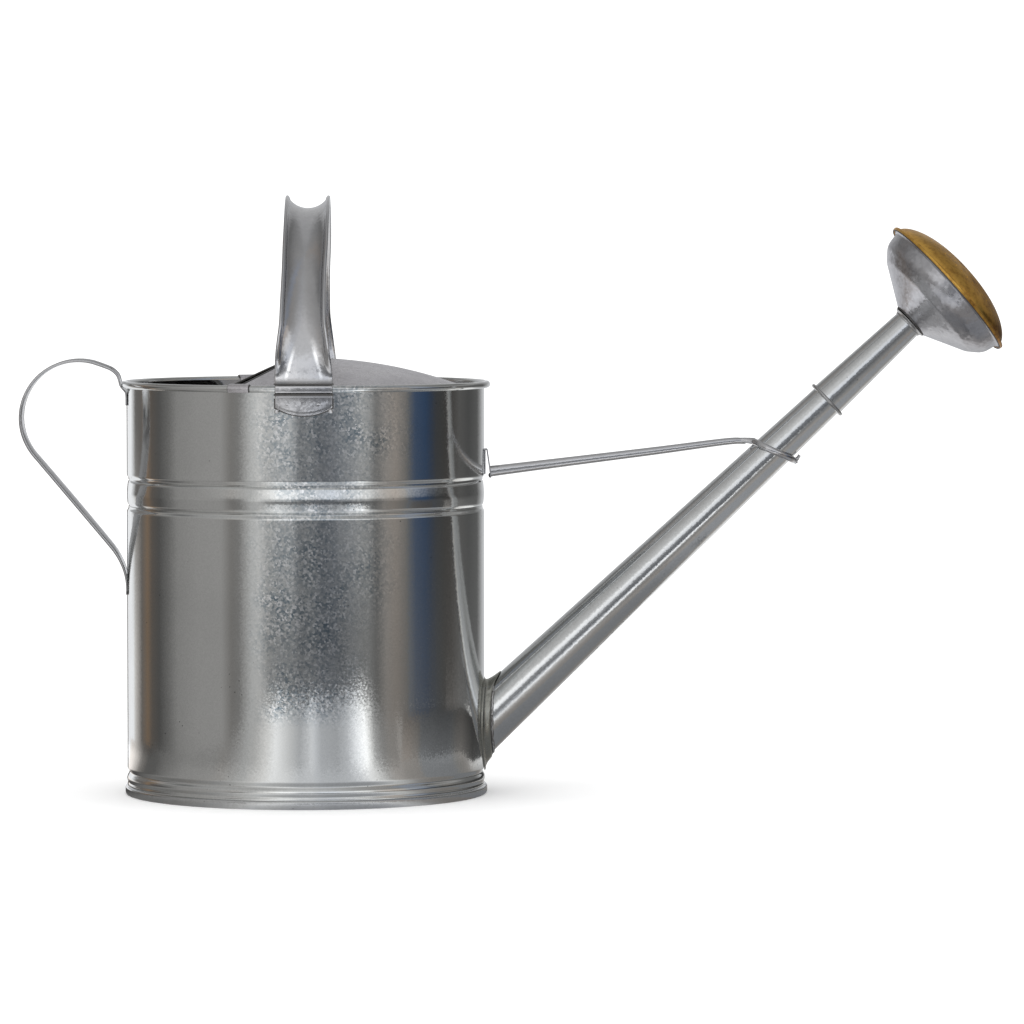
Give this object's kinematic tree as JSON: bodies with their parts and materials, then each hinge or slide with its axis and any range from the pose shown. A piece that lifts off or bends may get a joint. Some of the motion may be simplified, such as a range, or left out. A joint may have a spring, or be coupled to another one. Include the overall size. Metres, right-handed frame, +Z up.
{
  "type": "watering can",
  "caption": "Galvanised steel watering can with half cover, arched top handle, rear loop handle, long braced spout and a pull-off brass-faced rose.",
  "frame": {"origin": "on the ground, under the middle of the overall length and width", "axes": "+X from the can along the spout, +Y across, away from a viewer who has the spout on the right, +Z up"},
  "size_m": [0.6216, 0.2352, 0.3778],
  "materials": {
    "galvanised_sheet": "bright hot-dip galvanised sheet with a fine spangle",
    "galvanised_strap": "satin galvanised strip",
    "zinc_wire": "satin galvanised wire and rolled edges",
    "zinc_rose": "matte spun zinc-coated steel",
    "solder": "rough bright solder",
    "brass": "satin brass with darker patches"
  },
  "bodies": {
    "can": {"body_shell": "galvanised_sheet", "base_pan": "galvanised_sheet", "rim_wire": "zinc_wire", "cover": "galvanised_sheet", "cover_edge_wire": "zinc_wire", "cover_clip_near": "galvanised_sheet", "cover_clip_far": "galvanised_sheet", "top_handle": "galvanised_strap", "solder_near_left": "solder", "solder_near_right": "solder", "solder_far_left": "solder", "solder_far_right": "solder", "rear_handle": "galvanised_strap", "spout_tube": "galvanised_sheet", "spout_collar": "solder", "stay_foot": "galvanised_strap", "stay_bar": "galvanised_strap"},
    "rose_ring": {"rose_neck_ring": "zinc_wire"},
    "rose": {"rose_neck": "galvanised_sheet", "rose_collar": "zinc_wire", "rose_shell": "zinc_rose", "rose_plate": "brass"}
  },
  "joints": [
    {"name": "rose_pull", "type": "slide", "parent": "can", "child": "rose_ring", "axis": [0.7278, 0, 0.6858], "range_m": [0, 0.06]},
    {"name": "rose_turn", "type": "hinge", "parent": "rose_ring", "child": "rose", "pos_m": [0.19995, 0, 0.24871], "axis": [0.7278, 0, 0.6858], "continuous": true}
  ]
}
